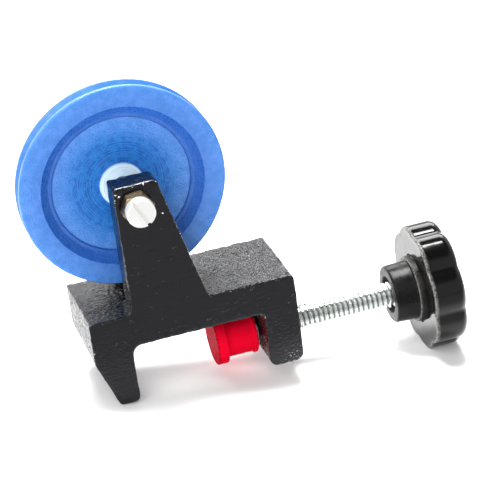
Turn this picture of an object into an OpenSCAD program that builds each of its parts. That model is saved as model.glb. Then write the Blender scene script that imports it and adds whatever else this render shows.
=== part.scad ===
// Pulley demonstrator: a grooved wheel that turns on its own spindle between two
// pivot screws in a cast fork, with a bench clamp below, cast in one piece with the fork.
// Origin: on the clamp screw's axis, at the inner face of the fixed leg, mid depth.
// +X runs from the fixed leg to the knob, +Y runs to the back along the wheel's axle,
// +Z is up.

/* [Casting] */
// Depth of the casting, along the wheel's axle
casting_d = 25; // [23:0.5:30]
// Opening between the fixed leg and the screw leg
throat_w = 32.6; // [31:0.2:40]
// Height of the bridge's underside above the clamp screw
throat_h = 9.5; // [9:0.5:14]
// Thickness of the bridge
bridge_t = 8.5; // [6:0.5:12]
// Thickness of the fixed leg under the bridge
fixed_leg_t = 9.6; // [8:0.1:12]
// Thickness of the fixed leg at its foot
foot_t = 5.1; // [4.5:0.1:7]
// Thickness of the screw leg
screw_leg_t = 8.7; // [7:0.1:12]
// Metal left between the clamp screw's hole and the end of the leg
leg_cover = 1.8; // [1.6:0.1:5]
// Fillet between the fixed leg and the bridge
jaw_fillet = 2.4; // [1:0.1:3.5]
// Fillet between the screw leg and the bridge
leg_fillet = 1; // [0.6:0.1:3]
// Corner radius at the foot of the fixed leg
foot_r = 1.2; // [0.5:0.1:2]
// Corner radius at the foot of the screw leg
screw_foot_r = 2; // [1:0.1:3]

/* [Fork] */
// Distance from the fixed leg's inner face to the arms' upright edge
arm_x = 1.2; // [0:0.1:3]
// Width of each arm at its top
arm_top_w = 10.8; // [10:0.2:14]
// Width of each arm where it meets the bridge
arm_base_w = 18.8; // [16:0.2:24]
// Distance from the arms' upright edge to the axle
axle_in = 5; // [4.6:0.1:5.6]
// Height of the arms above the axle
arm_over = 5.1; // [5:0.1:8]
// Thickness of the front arm at its top
front_arm_t = 7; // [6:0.1:8]
// Thickness of the back arm at its top
back_arm_t = 6; // [5.5:0.1:7]
// Extra thickness of each arm at its base
arm_draft = 0.6; // [0.2:0.1:1]
// Fillet where the arms meet the bridge
arm_fillet = 1.3; // [0.8:0.1:1.6]

/* [Wheel] */
// Diameter of the wheel
wheel_d = 50; // [46:0.5:56]
// Width of the wheel over its rim
wheel_w = 5.5; // [5.1:0.1:6.4]
// Width of each flat land beside the groove, with its rounded edge
land_w = 1.05; // [1:0.05:1.2]
// Radius of the rim's outer edges
edge_r = 0.85; // [0.4:0.05:0.9]
// Depth of the cord groove
groove_depth = 2.7; // [2:0.1:3.2]
// Radius in the bottom of the groove
groove_r = 0.5; // [0.3:0.05:0.6]
// Width of the rim's flat side, from the outside of the wheel inwards
rim_h = 5.2; // [4.5:0.1:6]
// Width of the sloping wall inside the rim
wall_run = 2.05; // [1.5:0.05:3]
// Width of the step at the foot of the sloping wall
step_run = 1.05; // [0.6:0.05:1.6]
// Height of that step over the web
step_h = 0.35; // [0.2:0.05:0.5]
// Thickness of the web
web_t = 1.6; // [1.2:0.1:2]
// Diameter of the hub
hub_d = 10.6; // [9:0.2:14]
// Width of the hub
hub_w = 3.7; // [3:0.1:4.4]
// Space between the wheel and the bridge
wheel_over = 2.2; // [1.8:0.1:5]
// Space between the wheel and the back arm
wheel_gap = 0.65; // [0.5:0.05:1]

/* [Pivots] */
// Diameter of the wheel's spindle
spindle_d = 4; // [3.6:0.1:4.4]
// Length of plain spindle outside the hub
spindle_out = 0.5; // [0.3:0.1:0.8]
// Angle between the spindle's axis and the side of its point
point_angle = 30; // [28:1:32]
// Radius of the spindle's blunt tip
tip_r = 0.2; // [0.15:0.05:0.3]
// Thread diameter of the pivot screws
pivot_d = 4; // [3.8:0.1:4.4]
// Depth and mouth radius of the cup in each pivot screw
cup_r = 1.3; // [1.2:0.05:1.5]
// Diameter of the pivot screws' heads
pivot_head_d = 6.8; // [6:0.1:8]
// Height of the pivot screws' heads
pivot_head_h = 2.6; // [2:0.1:3.2]
// Width of the driver slot
slot_w = 0.8; // [0.6:0.1:1.2]
// Depth of the driver slot
slot_depth = 1.2; // [0.8:0.1:1.4]
// Width across the flats of the lock nuts
nut_af = 7; // [6.6:0.1:8]
// Thickness of the lock nuts
nut_t = 3; // [2.4:0.1:3.6]

/* [Clamp] */
// Thread diameter of the clamp screw
screw_d = 6.35; // [6:0.05:7]
// Length of screw showing between the screw leg and the knob, with the jaw open
screw_out = 26.2; // [24:0.2:34]
// Length of the pressure pad
pad_l = 10.4; // [9.6:0.1:11]
// Space between the pad and the screw leg, with the jaw open
pad_gap = 0.6; // [0.4:0.1:1.5]
// Diameter of the pad's flange
flange_d = 13; // [12:0.25:15]
// Thickness of the pad's flange
flange_t = 2.7; // [2:0.1:3.5]
// Diameter of the pad's body
pad_body_d = 10.4; // [9.6:0.1:11]
// Diameter of the lip at the pad's open end
pad_lip_d = 11.2; // [11.1:0.1:11.8]
// Width of that lip
pad_lip_t = 1; // [0.6:0.1:1.4]
// Thickness of the pad in front of the screw's end
pad_floor = 1.8; // [1.4:0.1:2.4]

/* [Knob] */
// Diameter over the knob's lobes
knob_d = 31.4; // [28:0.2:36]
// Radius of each lobe
lobe_r = 7.7; // [7:0.1:9]
// Thickness of the knob's head
knob_head_t = 8.5; // [7.5:0.1:12]
// Diameter of the knob's boss
boss_d = 14.8; // [12:0.2:18]
// Length of the knob's boss
boss_l = 7.1; // [5:0.1:10]
// How far the collar at the head's end stands out from the boss
collar_out = 0.9; // [0.5:0.1:1.4]
// Width of that collar
collar_w = 1.5; // [1:0.1:2.4]
// Rounding of the knob's far edge
knob_round = 2.2; // [1:0.1:3]
// Rounding of the knob's near edge
knob_near_round = 0.6; // [0.3:0.1:0.9]
// Thickness of the knob beyond the screw's end
knob_cover = 3.6; // [2:0.1:5]

/* [Hidden] */
fit_gap = 0.05; // running clearance of each screw in its hole and of the points in the cups
lobes = 8;
knob_turn = 29; // where the knob stands with the jaw open
slot_turn_front = 40;
slot_turn_back = 75;
over = 0.003; // how far a rounding circle crosses the sides it blends
bite = 1; // how far a cutting or joining piece runs past the face it works on
screw_r = screw_d / 2;
half_d = casting_d / 2;
under_z = throat_h;
bridge_z = under_z + bridge_t;
foot_z = -(screw_r + fit_gap + leg_cover);
leg_x = throat_w;
leg_out_x = throat_w + screw_leg_t;
axle_x = arm_x + axle_in;
axle_z = bridge_z + wheel_over + wheel_d / 2;
arm_z = axle_z + arm_over;
wheel_y = half_d - back_arm_t - arm_draft - wheel_gap - wheel_w / 2;
tip_y = hub_w / 2 + spindle_out + (spindle_d / 2 - tip_r) / tan(point_angle);
pivot_end = tip_y - (cup_r - tip_r - fit_gap);
nut_out = half_d + nut_t;
pad_x = throat_w - pad_gap - pad_l;
screw_x = pad_x + pad_floor + fit_gap;
boss_x = leg_out_x + screw_out;
head_x = boss_x + boss_l;
knob_end_x = head_x + knob_head_t;
screw_end_x = knob_end_x - knob_cover;
knob_r = knob_d / 2;

function unit(v) = v / norm(v);

// The sliver between a corner at p and a circle inside both its sides, on which a and b
// lie. Taken away it rounds an outer corner; added it fills an inner one. The circle is a
// trace too large, so that it crosses the sides instead of only touching them.
module corner(p, a, b, r) {
  u = unit(a - p);
  v = unit(b - p);
  m = unit(u + v);
  half = acos(u * v) / 2;
  difference() {
    polygon([p - m * bite, p + u * r / tan(half), p + m * r / sin(half), p + v * r / tan(half)]);
    translate(p + m * r / sin(half)) circle(r = r + over, $fn = 64);
  }
}

// Places a shape drawn along +Z so that it runs along +X.
module along_x() rotate([0, 90, 0]) children();

// Places a flat shape drawn in x and z, with its thickness t centred on the casting.
module upright(t) rotate([90, 0, 0]) linear_extrude(height = t, center = true) children();

// Bridge and both legs, seen from the front.
module clamp_outline() {
  top_left = [-fixed_leg_t, bridge_z];
  waist = [-fixed_leg_t, under_z - jaw_fillet];
  foot_out = [-foot_t, foot_z];
  foot_in = [0, foot_z];
  jaw_top = [0, under_z];
  leg_top = [leg_x, under_z];
  leg_in = [leg_x, foot_z];
  leg_out = [leg_out_x, foot_z];
  top_right = [leg_out_x, bridge_z];
  difference() {
    polygon([top_left, waist, foot_out, foot_in, jaw_top, leg_top, leg_in, leg_out, top_right]);
    corner(top_left, waist, top_right, 0.6);
    corner(waist, top_left, foot_out, 6);
    corner(foot_out, waist, foot_in, foot_r);
    corner(foot_in, foot_out, jaw_top, foot_r);
    corner(leg_in, leg_top, leg_out, screw_foot_r);
    corner(leg_out, leg_in, top_right, screw_foot_r);
    corner(top_right, leg_out, top_left, 1.3);
  }
  corner(jaw_top, foot_in, leg_top, jaw_fillet);
  corner(leg_top, jaw_top, leg_in, leg_fillet);
}

// One arm of the fork, seen from the front. It runs a little way down into the bridge.
module arm_outline() {
  low_left = [arm_x, bridge_z - bite];
  top_left = [arm_x, arm_z];
  top_right = [arm_x + arm_top_w, arm_z];
  base_right = [arm_x + arm_base_w, bridge_z];
  low_right = [arm_x + arm_base_w, bridge_z - bite];
  difference() {
    polygon([low_left, top_left, top_right, base_right, low_right]);
    corner(top_left, low_left, top_right, 0.6);
    corner(top_right, top_left, base_right, 1.2);
  }
  corner([arm_x, bridge_z], top_left, [arm_x - 5, bridge_z], arm_fillet);
  corner(base_right, top_right, base_right + [5, 0], arm_fillet);
}

// The slot between the arms, seen from the side, with its filleted bottom corners.
module fork_slot() {
  front_base = [-half_d + front_arm_t + arm_draft, bridge_z];
  back_base = [half_d - back_arm_t - arm_draft, bridge_z];
  back_top = [half_d - back_arm_t, arm_z];
  front_top = [-half_d + front_arm_t, arm_z];
  difference() {
    polygon([front_base, back_base, back_top, back_top + [0, bite], front_top + [0, bite], front_top]);
    corner(front_base, front_top, back_base, arm_fillet);
    corner(back_base, back_top, front_base, arm_fillet);
  }
}

// Both arms, seen from the side.
module fork_section() {
  difference() {
    translate([-half_d, bridge_z - bite]) square([casting_d, arm_z - bridge_z + bite]);
    fork_slot();
  }
}

module clamp_casting() {
  color([0.06, 0.06, 0.07]) difference() {
    union() {
      upright(casting_d) clamp_outline();
      intersection() {
        upright(casting_d + 2 * bite) arm_outline();
        rotate([90, 0, 90]) linear_extrude(height = 2 * arm_base_w + 10, center = true) fork_section();
      }
    }
    translate([axle_x, 0, axle_z]) rotate([90, 0, 0])
      cylinder(r = pivot_d / 2 + fit_gap, h = casting_d + 2 * bite, center = true, $fn = 64);
    translate([leg_x - bite, 0, 0]) along_x()
      cylinder(r = screw_r + fit_gap, h = screw_leg_t + 2 * bite, $fn = 64);
  }
}

// The cord groove's section: a V with a rounded bottom, drawn out past the rim.
module groove_section() {
  bottom = [wheel_d / 2 - groove_depth, 0];
  side = [groove_depth, wheel_w / 2 - land_w] * 1.3;
  other = [side[0], -side[1]];
  difference() {
    polygon([bottom, bottom + side, bottom + other]);
    corner(bottom, bottom + side, bottom + other, groove_r);
  }
}

// The wheel's section: x is the radius, y the distance from the middle plane.
module wheel_section() {
  half_w = wheel_w / 2;
  rim_r = wheel_d / 2;
  side_r = rim_r - rim_h;
  wall_r = side_r - wall_run;
  step_r = wall_r - step_run;
  step_y = web_t / 2 + step_h;
  difference() {
    polygon([
      [spindle_d / 2, -hub_w / 2], [hub_d / 2, -hub_w / 2], [hub_d / 2, -web_t / 2],
      [step_r, -web_t / 2], [step_r + step_h, -step_y], [wall_r, -step_y],
      [side_r, -half_w], [rim_r, -half_w], [rim_r, half_w], [side_r, half_w],
      [wall_r, step_y], [step_r + step_h, step_y], [step_r, web_t / 2],
      [hub_d / 2, web_t / 2], [hub_d / 2, hub_w / 2], [spindle_d / 2, hub_w / 2]
    ]);
    corner([rim_r, half_w], [rim_r, 0], [side_r, half_w], edge_r);
    corner([rim_r, -half_w], [rim_r, 0], [side_r, -half_w], edge_r);
    groove_section();
  }
}

module pulley_wheel() {
  color([0, 0.35, 0.75]) translate([axle_x, wheel_y, axle_z]) rotate([90, 0, 0])
    rotate_extrude($fn = 128) wheel_section();
}

// A turned pin, pointed at both ends.
module wheel_spindle() {
  plain = hub_w / 2 + spindle_out;
  color([0.75, 0.75, 0.77]) translate([axle_x, wheel_y, axle_z]) rotate([90, 0, 0])
    rotate_extrude($fn = 64) polygon([
      [0, -tip_y], [tip_r, -tip_y], [spindle_d / 2, -plain],
      [spindle_d / 2, plain], [tip_r, tip_y], [0, tip_y]
    ]);
}

// A slotted screw with a cup in its end. Its head stands on z = 0 and its shank reaches
// down from there.
module pivot_screw(reach, slot_turn) {
  difference() {
    union() {
      cylinder(r = pivot_head_d / 2, h = pivot_head_h, $fn = 64);
      translate([0, 0, -reach]) cylinder(r = pivot_d / 2, h = reach + bite, $fn = 64);
    }
    translate([0, 0, -reach - bite])
      cylinder(r1 = cup_r + bite, r2 = 0, h = cup_r + bite, $fn = 64);
    rotate([0, 0, slot_turn]) translate([0, 0, pivot_head_h])
      cube([pivot_head_d + 2 * bite, slot_w, 2 * slot_depth], center = true);
  }
}

module pivot_screw_front() {
  color([0.8, 0.8, 0.8]) translate([axle_x, -nut_out, axle_z]) rotate([90, 0, 0])
    pivot_screw(nut_out + wheel_y - pivot_end, -slot_turn_front);
}

module pivot_screw_back() {
  color([0.8, 0.8, 0.8]) translate([axle_x, nut_out, axle_z]) rotate([-90, 0, 0])
    pivot_screw(nut_out - wheel_y - pivot_end, slot_turn_back);
}

// A hexagon nut with both faces chamfered at the corners.
module lock_nut(turn) {
  corner_r = nut_af / 2 / cos(30);
  difference() {
    intersection() {
      rotate([0, 0, turn]) cylinder(r = corner_r, h = nut_t, $fn = 6);
      rotate_extrude($fn = 64) polygon([
        [0, 0], [nut_af / 2, 0], [corner_r + 0.1, (corner_r + 0.1 - nut_af / 2) / 2],
        [corner_r + 0.1, nut_t - (corner_r + 0.1 - nut_af / 2) / 2], [nut_af / 2, nut_t], [0, nut_t]
      ]);
    }
    translate([0, 0, -bite]) cylinder(r = pivot_d / 2, h = nut_t + 2 * bite, $fn = 64);
  }
}

module lock_nut_front() {
  color([0.72, 0.64, 0.42]) translate([axle_x, -half_d, axle_z]) rotate([90, 0, 0]) lock_nut(7);
}

module lock_nut_back() {
  color([0.72, 0.64, 0.42]) translate([axle_x, half_d, axle_z]) rotate([-90, 0, 0]) lock_nut(22);
}

module clamp_screw() {
  chamfer = 0.6;
  color([0.8, 0.8, 0.82]) translate([screw_x, 0, 0]) along_x()
    rotate_extrude($fn = 64) polygon([
      [0, 0], [screw_r - chamfer, 0], [screw_r, chamfer],
      [screw_r, screw_end_x - screw_x], [0, screw_end_x - screw_x]
    ]);
}

module knob_outline() {
  circle(r = knob_r - lobe_r, $fn = 64);
  for (i = [0:lobes - 1])
    rotate([0, 0, knob_turn + i * 360 / lobes]) translate([knob_r - lobe_r, 0])
      circle(r = lobe_r, $fn = 64);
}

// The solid of revolution that rounds the knob's two edges.
module knob_limit() {
  near = [knob_r, 0];
  far = [knob_r, knob_head_t];
  difference() {
    square([knob_r, knob_head_t]);
    corner(near, [0, 0], far, knob_near_round);
    corner(far, near, [0, knob_head_t], knob_round);
  }
}

module clamp_knob() {
  color([0.03, 0.03, 0.03]) difference() {
    union() {
      translate([head_x, 0, 0]) along_x() intersection() {
        linear_extrude(height = knob_head_t) knob_outline();
        rotate_extrude($fn = 96) knob_limit();
      }
      translate([boss_x, 0, 0]) along_x() rotate_extrude($fn = 64) difference() {
        union() {
          square([boss_d / 2, boss_l + bite]);
          translate([0, boss_l - collar_w]) square([boss_d / 2 + collar_out, collar_w + bite]);
        }
        corner([boss_d / 2, 0], [0, 0], [boss_d / 2, boss_l], 0.8);
      }
    }
    translate([boss_x - bite, 0, 0]) along_x()
      cylinder(r = screw_r, h = screw_end_x - boss_x + bite, $fn = 64);
  }
}

module pressure_pad() {
  hole_r = screw_r + fit_gap;
  color([0.75, 0, 0.08]) translate([pad_x, 0, 0]) along_x() rotate_extrude($fn = 96)
    difference() {
      union() {
        square([flange_d / 2, flange_t]);
        square([pad_body_d / 2, pad_l]);
        translate([0, pad_l - pad_lip_t]) square([pad_lip_d / 2, pad_lip_t]);
      }
      translate([0, pad_floor]) square([hole_r, pad_l]);
      corner([flange_d / 2, 0], [0, 0], [flange_d / 2, flange_t], 0.5);
    }
}

clamp_casting();
pulley_wheel();
wheel_spindle();
pivot_screw_front();
pivot_screw_back();
lock_nut_front();
lock_nut_back();
clamp_screw();
clamp_knob();
pressure_pad();
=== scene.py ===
# %% [markdown]
# # A bench-clamp pulley, dressed for its picture
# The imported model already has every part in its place: a cast clamp with two arms, a
# grooved wheel between them, two pivot screws with lock nuts, and a clamp screw with a
# knob and a red pad. Here each part gets the surface that a visitor would see: lumpy
# black enamel, satin blue, rolled threads, moulded plastic.
# Every shape below is worked out in millimetres and turned into metres as it is made.

# %% Load the frame
import math

import bpy
import numpy as np
from mathutils import Matrix, Vector


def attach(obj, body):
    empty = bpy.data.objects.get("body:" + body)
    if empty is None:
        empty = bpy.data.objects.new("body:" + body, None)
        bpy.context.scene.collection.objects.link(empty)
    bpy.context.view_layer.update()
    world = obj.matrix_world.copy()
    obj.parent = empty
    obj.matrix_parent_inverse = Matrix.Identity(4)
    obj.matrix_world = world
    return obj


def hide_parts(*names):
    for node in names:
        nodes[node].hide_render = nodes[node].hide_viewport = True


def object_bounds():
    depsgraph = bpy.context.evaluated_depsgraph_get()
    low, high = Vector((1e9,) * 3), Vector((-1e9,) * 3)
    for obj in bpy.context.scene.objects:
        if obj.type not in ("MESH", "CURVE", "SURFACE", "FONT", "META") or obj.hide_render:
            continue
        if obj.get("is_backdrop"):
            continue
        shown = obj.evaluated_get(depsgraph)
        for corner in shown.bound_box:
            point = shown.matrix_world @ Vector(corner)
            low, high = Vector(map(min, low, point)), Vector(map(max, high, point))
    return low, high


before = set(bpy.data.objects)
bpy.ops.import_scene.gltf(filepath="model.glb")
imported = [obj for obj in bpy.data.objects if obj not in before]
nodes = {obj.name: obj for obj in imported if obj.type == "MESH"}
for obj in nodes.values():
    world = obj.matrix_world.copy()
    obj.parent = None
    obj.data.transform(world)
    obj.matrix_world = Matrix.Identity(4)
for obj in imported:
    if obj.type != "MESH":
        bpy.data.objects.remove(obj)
cad_box = [list(corner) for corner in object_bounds()]
MM = 0.001
AXLE = (6.2, 2.5, 45.2)  # middle of the wheel, mm


def new_object(name, data):
    """A new object in the scene, at the origin, that shows a mesh, lamp or camera."""
    obj = bpy.data.objects.new(name, data)
    bpy.context.scene.collection.objects.link(obj)
    return obj


# %% [markdown]
# ## The camera
# The camera comes first, because everything after it is judged through it. Its place is
# given the way a photographer would say it: how far round, how high, how far off, and
# how much the camera leans. Blender stores a camera as three directions and a place, so
# the directions are worked out from the angles.

# %% Camera
AZIMUTH, ELEVATION, ROLL = np.radians([13.0, 25.45, -8.15])
DISTANCE = 584.5
FOCAL_PIXELS = 2499.6
AIM_RIGHT, AIM_UP = -37.79, -17.76
FRAME_PIXELS = 500
SENSOR_WIDTH = 36.0
NEAREST, FARTHEST = 0.01, 20.0  # metres that the camera sees between
AIM_FROM = np.array([-9.6, -12.5, 18.0])  # the corner of the casting that the aim counts from


def camera_axes(azimuth, elevation, roll):
    """Right, up and forward: forward from the two angles, right level, then both rolled about forward."""
    forward = np.array([
        math.sin(azimuth) * math.cos(elevation),
        math.cos(azimuth) * math.cos(elevation),
        -math.sin(elevation),
    ])
    level = np.cross(forward, [0, 0, 1])
    level /= np.linalg.norm(level)
    upright = np.cross(level, forward)
    right = math.cos(roll) * level + math.sin(roll) * upright
    up = -math.sin(roll) * level + math.cos(roll) * upright
    return right, up, forward


right, up, forward = camera_axes(AZIMUTH, ELEVATION, ROLL)
place = AIM_FROM - (right * AIM_RIGHT + up * AIM_UP + forward * DISTANCE)
camera = new_object("camera", bpy.data.cameras.new("camera"))
columns = np.column_stack([right, up, -forward])
camera.matrix_world = Matrix.Translation(Vector(place * MM)) @ Matrix(columns.tolist()).to_4x4()
camera.data.sensor_fit = "HORIZONTAL"
camera.data.sensor_width = SENSOR_WIDTH
camera.data.lens = FOCAL_PIXELS / FRAME_PIXELS * SENSOR_WIDTH
camera.data.clip_start, camera.data.clip_end = NEAREST, FARTHEST
bpy.context.scene.camera = camera
print("camera stands at", np.round(place), "mm")

# %% [markdown]
# ## The table it stands on
# The clamp is photographed off the bench, so it leans: it rests on the foot of its fixed
# leg and on the rim of its knob. The model keeps the clamp square, so the table is drawn
# sloping instead. It could be a bent sheet with a curved back, but one flat square is
# enough here, because its far part is made to fade to white.

# %% Table
FOOT = np.array([-4.4, -5.05])  # x and z of the touching edge of the fixed leg
KNOB_TOUCH = np.array([80.9, -15.45])  # x and z of the knob's lowest rim
TABLE_SLOPE = (KNOB_TOUCH[1] - FOOT[1]) / (KNOB_TOUCH[0] - FOOT[0])
TABLE_HALF = 1500.0


def table_height(x):
    """Height of the table at x: the straight line through the foot and the knob's rim."""
    return FOOT[1] + TABLE_SLOPE * (x - FOOT[0])


corners_x = np.array([-1, 1, 1, -1]) * TABLE_HALF
corners_y = np.array([-1, -1, 1, 1]) * TABLE_HALF
table_corners = np.column_stack([corners_x, corners_y, table_height(corners_x)]) * MM
table_mesh = bpy.data.meshes.new("table")
table_mesh.from_pydata(table_corners.tolist(), [], [(0, 1, 2, 3)])
new_object("table", table_mesh)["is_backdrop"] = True
print("the table slopes", round(math.degrees(math.atan(TABLE_SLOPE)), 2), "degrees")

# %% [markdown]
# ## White paper
# A studio gets a pure white ground and dark paint in one picture with cards and flags.
# Here a material can ask what kind of ray has hit it. The paper glows a little in rays
# that carry the picture, so that it reads as white and keeps the shadows. In mirror rays
# it is dimmed in front of the object, which keeps the front of the black paint black.
# Far from the object it fades to full white for the camera alone.

# %% Arithmetic and kinds of ray
def number(tree, operation, *values):
    """One step of arithmetic in a node tree, on one or two numbers or sockets."""
    node = tree.nodes.new("ShaderNodeMath")
    node.operation = operation
    for socket, value in zip(node.inputs, values):
        if isinstance(value, (int, float)):
            socket.default_value = value
        else:
            tree.links.new(value, socket)
    return node.outputs[0]


def ramp(tree, value, low, high, to_low=0.0, to_high=1.0, kind="SMOOTHSTEP"):
    """value stretched so that low becomes to_low and high becomes to_high, and held there beyond."""
    node = tree.nodes.new("ShaderNodeMapRange")
    node.interpolation_type = kind
    sockets = ("From Min", "From Max", "To Min", "To Max")
    for socket, amount in zip(sockets, (low, high, to_low, to_high)):
        node.inputs[socket].default_value = amount
    tree.links.new(value, node.inputs["Value"])
    return node.outputs["Result"]


def picture_rays(tree):
    """1 for rays that carry the picture: from the camera, a mirror or a lens; 0 for the light in a room."""
    path = tree.nodes.new("ShaderNodeLightPath").outputs
    either = number(tree, "MAXIMUM", path["Is Camera Ray"], path["Is Glossy Ray"])
    return number(tree, "MAXIMUM", either, path["Is Transmission Ray"])


def mirror_dims(tree, where, axis, dim, low, high):
    """A level for mirror rays only: dim where the place along the axis (0, 1, 2) is at low, or past
    it, and rising smoothly to 1 at high."""
    split = tree.nodes.new("ShaderNodeSeparateXYZ")
    tree.links.new(where, split.inputs[0])
    level = ramp(tree, split.outputs[axis], low, high, dim)
    mirror = tree.nodes.new("ShaderNodeLightPath").outputs["Is Glossy Ray"]
    drop = number(tree, "MULTIPLY", mirror, number(tree, "SUBTRACT", 1.0, level))
    return number(tree, "SUBTRACT", 1.0, drop)


# %% White paper
PAPER_SHADE = 0.86
PAPER_GLOW = 0.10
FRONT_PAPER, FRONT_FROM, FRONT_TO = 0.30, -0.045, -0.008  # level in front, and metres it lies between
FADE_FROM, FADE_TO = 0.22, 0.80  # metres off at which the paper starts to fade, and is white


def table_finish():
    """Matt white, plus a glow: for picture rays the same everywhere, and for camera rays the share of
    the way from where the fade starts to where it ends."""
    mat = bpy.data.materials.new("white_table")
    mat.use_nodes = True
    tree = mat.node_tree
    tree.nodes.clear()
    out = tree.nodes.new("ShaderNodeOutputMaterial")
    where = tree.nodes.new("ShaderNodeTexCoord").outputs["Object"]
    dims = mirror_dims(tree, where, 1, FRONT_PAPER, FRONT_FROM, FRONT_TO)
    paper = tree.nodes.new("ShaderNodeBsdfDiffuse")
    tree.links.new(number(tree, "MULTIPLY", dims, PAPER_SHADE), paper.inputs["Color"])
    glow = tree.nodes.new("ShaderNodeEmission")
    glow.inputs["Color"].default_value = (1, 1, 1, 1)
    shown = number(tree, "MULTIPLY", picture_rays(tree), dims)
    near_glow = number(tree, "MULTIPLY", shown, PAPER_GLOW)
    reach = tree.nodes.new("ShaderNodeVectorMath")
    reach.operation = "LENGTH"
    tree.links.new(where, reach.inputs[0])
    far = ramp(tree, reach.outputs["Value"], FADE_FROM, FADE_TO, kind="LINEAR")
    camera_ray = tree.nodes.new("ShaderNodeLightPath").outputs["Is Camera Ray"]
    far_glow = number(tree, "MULTIPLY", camera_ray, far)
    tree.links.new(number(tree, "ADD", near_glow, far_glow), glow.inputs["Strength"])
    both = tree.nodes.new("ShaderNodeAddShader")
    tree.links.new(paper.outputs[0], both.inputs[0])
    tree.links.new(glow.outputs[0], both.inputs[1])
    tree.links.new(both.outputs[0], out.inputs["Surface"])
    return mat


table_mesh.materials.append(table_finish())
print("paper:", len(table_mesh.materials[0].node_tree.nodes), "nodes")

# %% [markdown]
# ## Light
# The picture is lit like a product page: a bright room, one big soft lamp in front and
# to the left, one overhead, and one behind, whose reflection draws the lumps of the
# black paint. The room could be a picture of a studio, but an even white with two dark
# parts does: in mirror rays it is dimmed in front and nearly black overhead.

# %% The room
ROOM_LIGHT = 0.26
FRONT_ROOM, ROOM_FRONT, ROOM_BACK = 0.70, -0.15, 0.30  # level in front, and y of the directions between
CEILING, CEILING_FULL, CEILING_EDGE = 0.05, 0.80, 0.55  # level overhead, and z of the directions between


def make_world():
    """A white room: full white in picture rays, and about a quarter of that as light."""
    world = bpy.data.worlds.new("room")
    bpy.context.scene.world = world
    world.use_nodes = True
    tree = world.node_tree
    tree.nodes.clear()
    out = tree.nodes.new("ShaderNodeOutputWorld")
    sky = tree.nodes.new("ShaderNodeBackground")
    sky.inputs["Color"].default_value = (1, 1, 1, 1)
    way = tree.nodes.new("ShaderNodeTexCoord").outputs["Generated"]
    level = ramp(tree, picture_rays(tree), 0.0, 1.0, ROOM_LIGHT, kind="LINEAR")
    front = mirror_dims(tree, way, 1, FRONT_ROOM, ROOM_FRONT, ROOM_BACK)
    overhead = mirror_dims(tree, way, 2, CEILING, CEILING_FULL, CEILING_EDGE)
    dims = number(tree, "MULTIPLY", front, overhead)
    tree.links.new(number(tree, "MULTIPLY", level, dims), sky.inputs["Strength"])
    tree.links.new(sky.outputs[0], out.inputs["Surface"])


make_world()
print("room:", bpy.context.scene.world.name)

# %% Lamps
MIDDLE = Vector((0.030, 0.0, 0.020))
LAMPS = (  # name, place and size in metres, watts
    ("front_lamp", (-0.35, -0.55, 0.55), (0.7, 0.7), 6.4),
    ("top_lamp", (0.10, 0.20, 0.85), (0.4, 0.4), 19.0),
    ("back_lamp", (0.10, 0.80, 0.50), (1.1, 0.35), 7.6),
)


def soft_lamp(name, place, size, watts):
    """A flat lamp at place, turned to face the middle of the object."""
    data = bpy.data.lights.new(name, "AREA")
    data.shape = "RECTANGLE"
    data.size, data.size_y = size
    data.energy = watts
    lamp = new_object(name, data)
    place = Vector(place)
    facing = (MIDDLE - place).to_track_quat("-Z", "Y")
    lamp.matrix_world = Matrix.Translation(place) @ facing.to_matrix().to_4x4()
    print(name, "stands", round((MIDDLE - place).length, 2), "m off")


for lamp in LAMPS:
    soft_lamp(*lamp)
bpy.context.scene.view_settings.view_transform = "Standard"

# %% [markdown]
# ## Tools for making surfaces
# Nearly every piece here is a row of points carried along or around something, which
# gives a grid. `skin` turns a grid into a mesh. Which way the faces point is settled by
# the volume that they enclose: if it comes out negative, they are all turned round.

# %% Grid to mesh
def put_mesh(name, points, quads, triangles):
    """A mesh from points in mm and arrays of four- and three-cornered faces. The sum over the faces of
    a . (b x c) is six times the volume; where it is negative, the faces are turned round."""
    fans = np.vstack([quads[:, [0, 1, 2]], quads[:, [0, 2, 3]], triangles])
    a, b, c = points[fans[:, 0]], points[fans[:, 1]], points[fans[:, 2]]
    if np.einsum("ij,ij->i", a, np.cross(b, c)).sum() < 0:
        quads, triangles = quads[:, ::-1], triangles[:, ::-1]
    corners = np.concatenate([quads.ravel(), triangles.ravel()]).astype(np.int32)
    sizes = np.repeat([4, 3], [len(quads), len(triangles)])
    starts = (np.cumsum(sizes) - sizes).astype(np.int32)
    mesh = bpy.data.meshes.new(name)
    mesh.vertices.add(len(points))
    mesh.vertices.foreach_set("co", (points * MM).astype(np.float32).ravel())
    mesh.loops.add(len(corners))
    mesh.loops.foreach_set("vertex_index", corners)
    mesh.polygons.add(len(sizes))
    mesh.polygons.foreach_set("loop_start", starts)
    mesh.polygons.foreach_set("use_smooth", np.ones(len(sizes), bool))
    mesh.update(calc_edges=True)
    mesh.validate()
    return mesh


def skin(name, grid, loop=True):
    """The mesh over grid[i, j]. j always goes round. With loop, the last row joins the first; without,
    both end rows are closed by a fan to their middle."""
    rows, around = grid.shape[:2]
    points = grid.reshape(-1, 3)
    index = np.arange(rows * around).reshape(rows, around)
    low = index if loop else index[:-1]
    high = np.roll(index, -1, axis=0) if loop else index[1:]
    quads = np.stack([low, np.roll(low, -1, 1), np.roll(high, -1, 1), high], axis=-1).reshape(-1, 4)
    triangles = np.zeros((0, 3), int)
    if not loop:
        middles = np.array([grid[0].mean(0), grid[-1].mean(0)])
        points = np.vstack([points, middles])
        first, last = rows * around, rows * around + 1
        start, end = index[0], index[-1]
        triangles = np.vstack([
            np.column_stack([np.roll(start, -1), start, np.full(around, first)]),
            np.column_stack([end, np.roll(end, -1), np.full(around, last)]),
        ])
    return put_mesh(name, points, quads, triangles)


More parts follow.
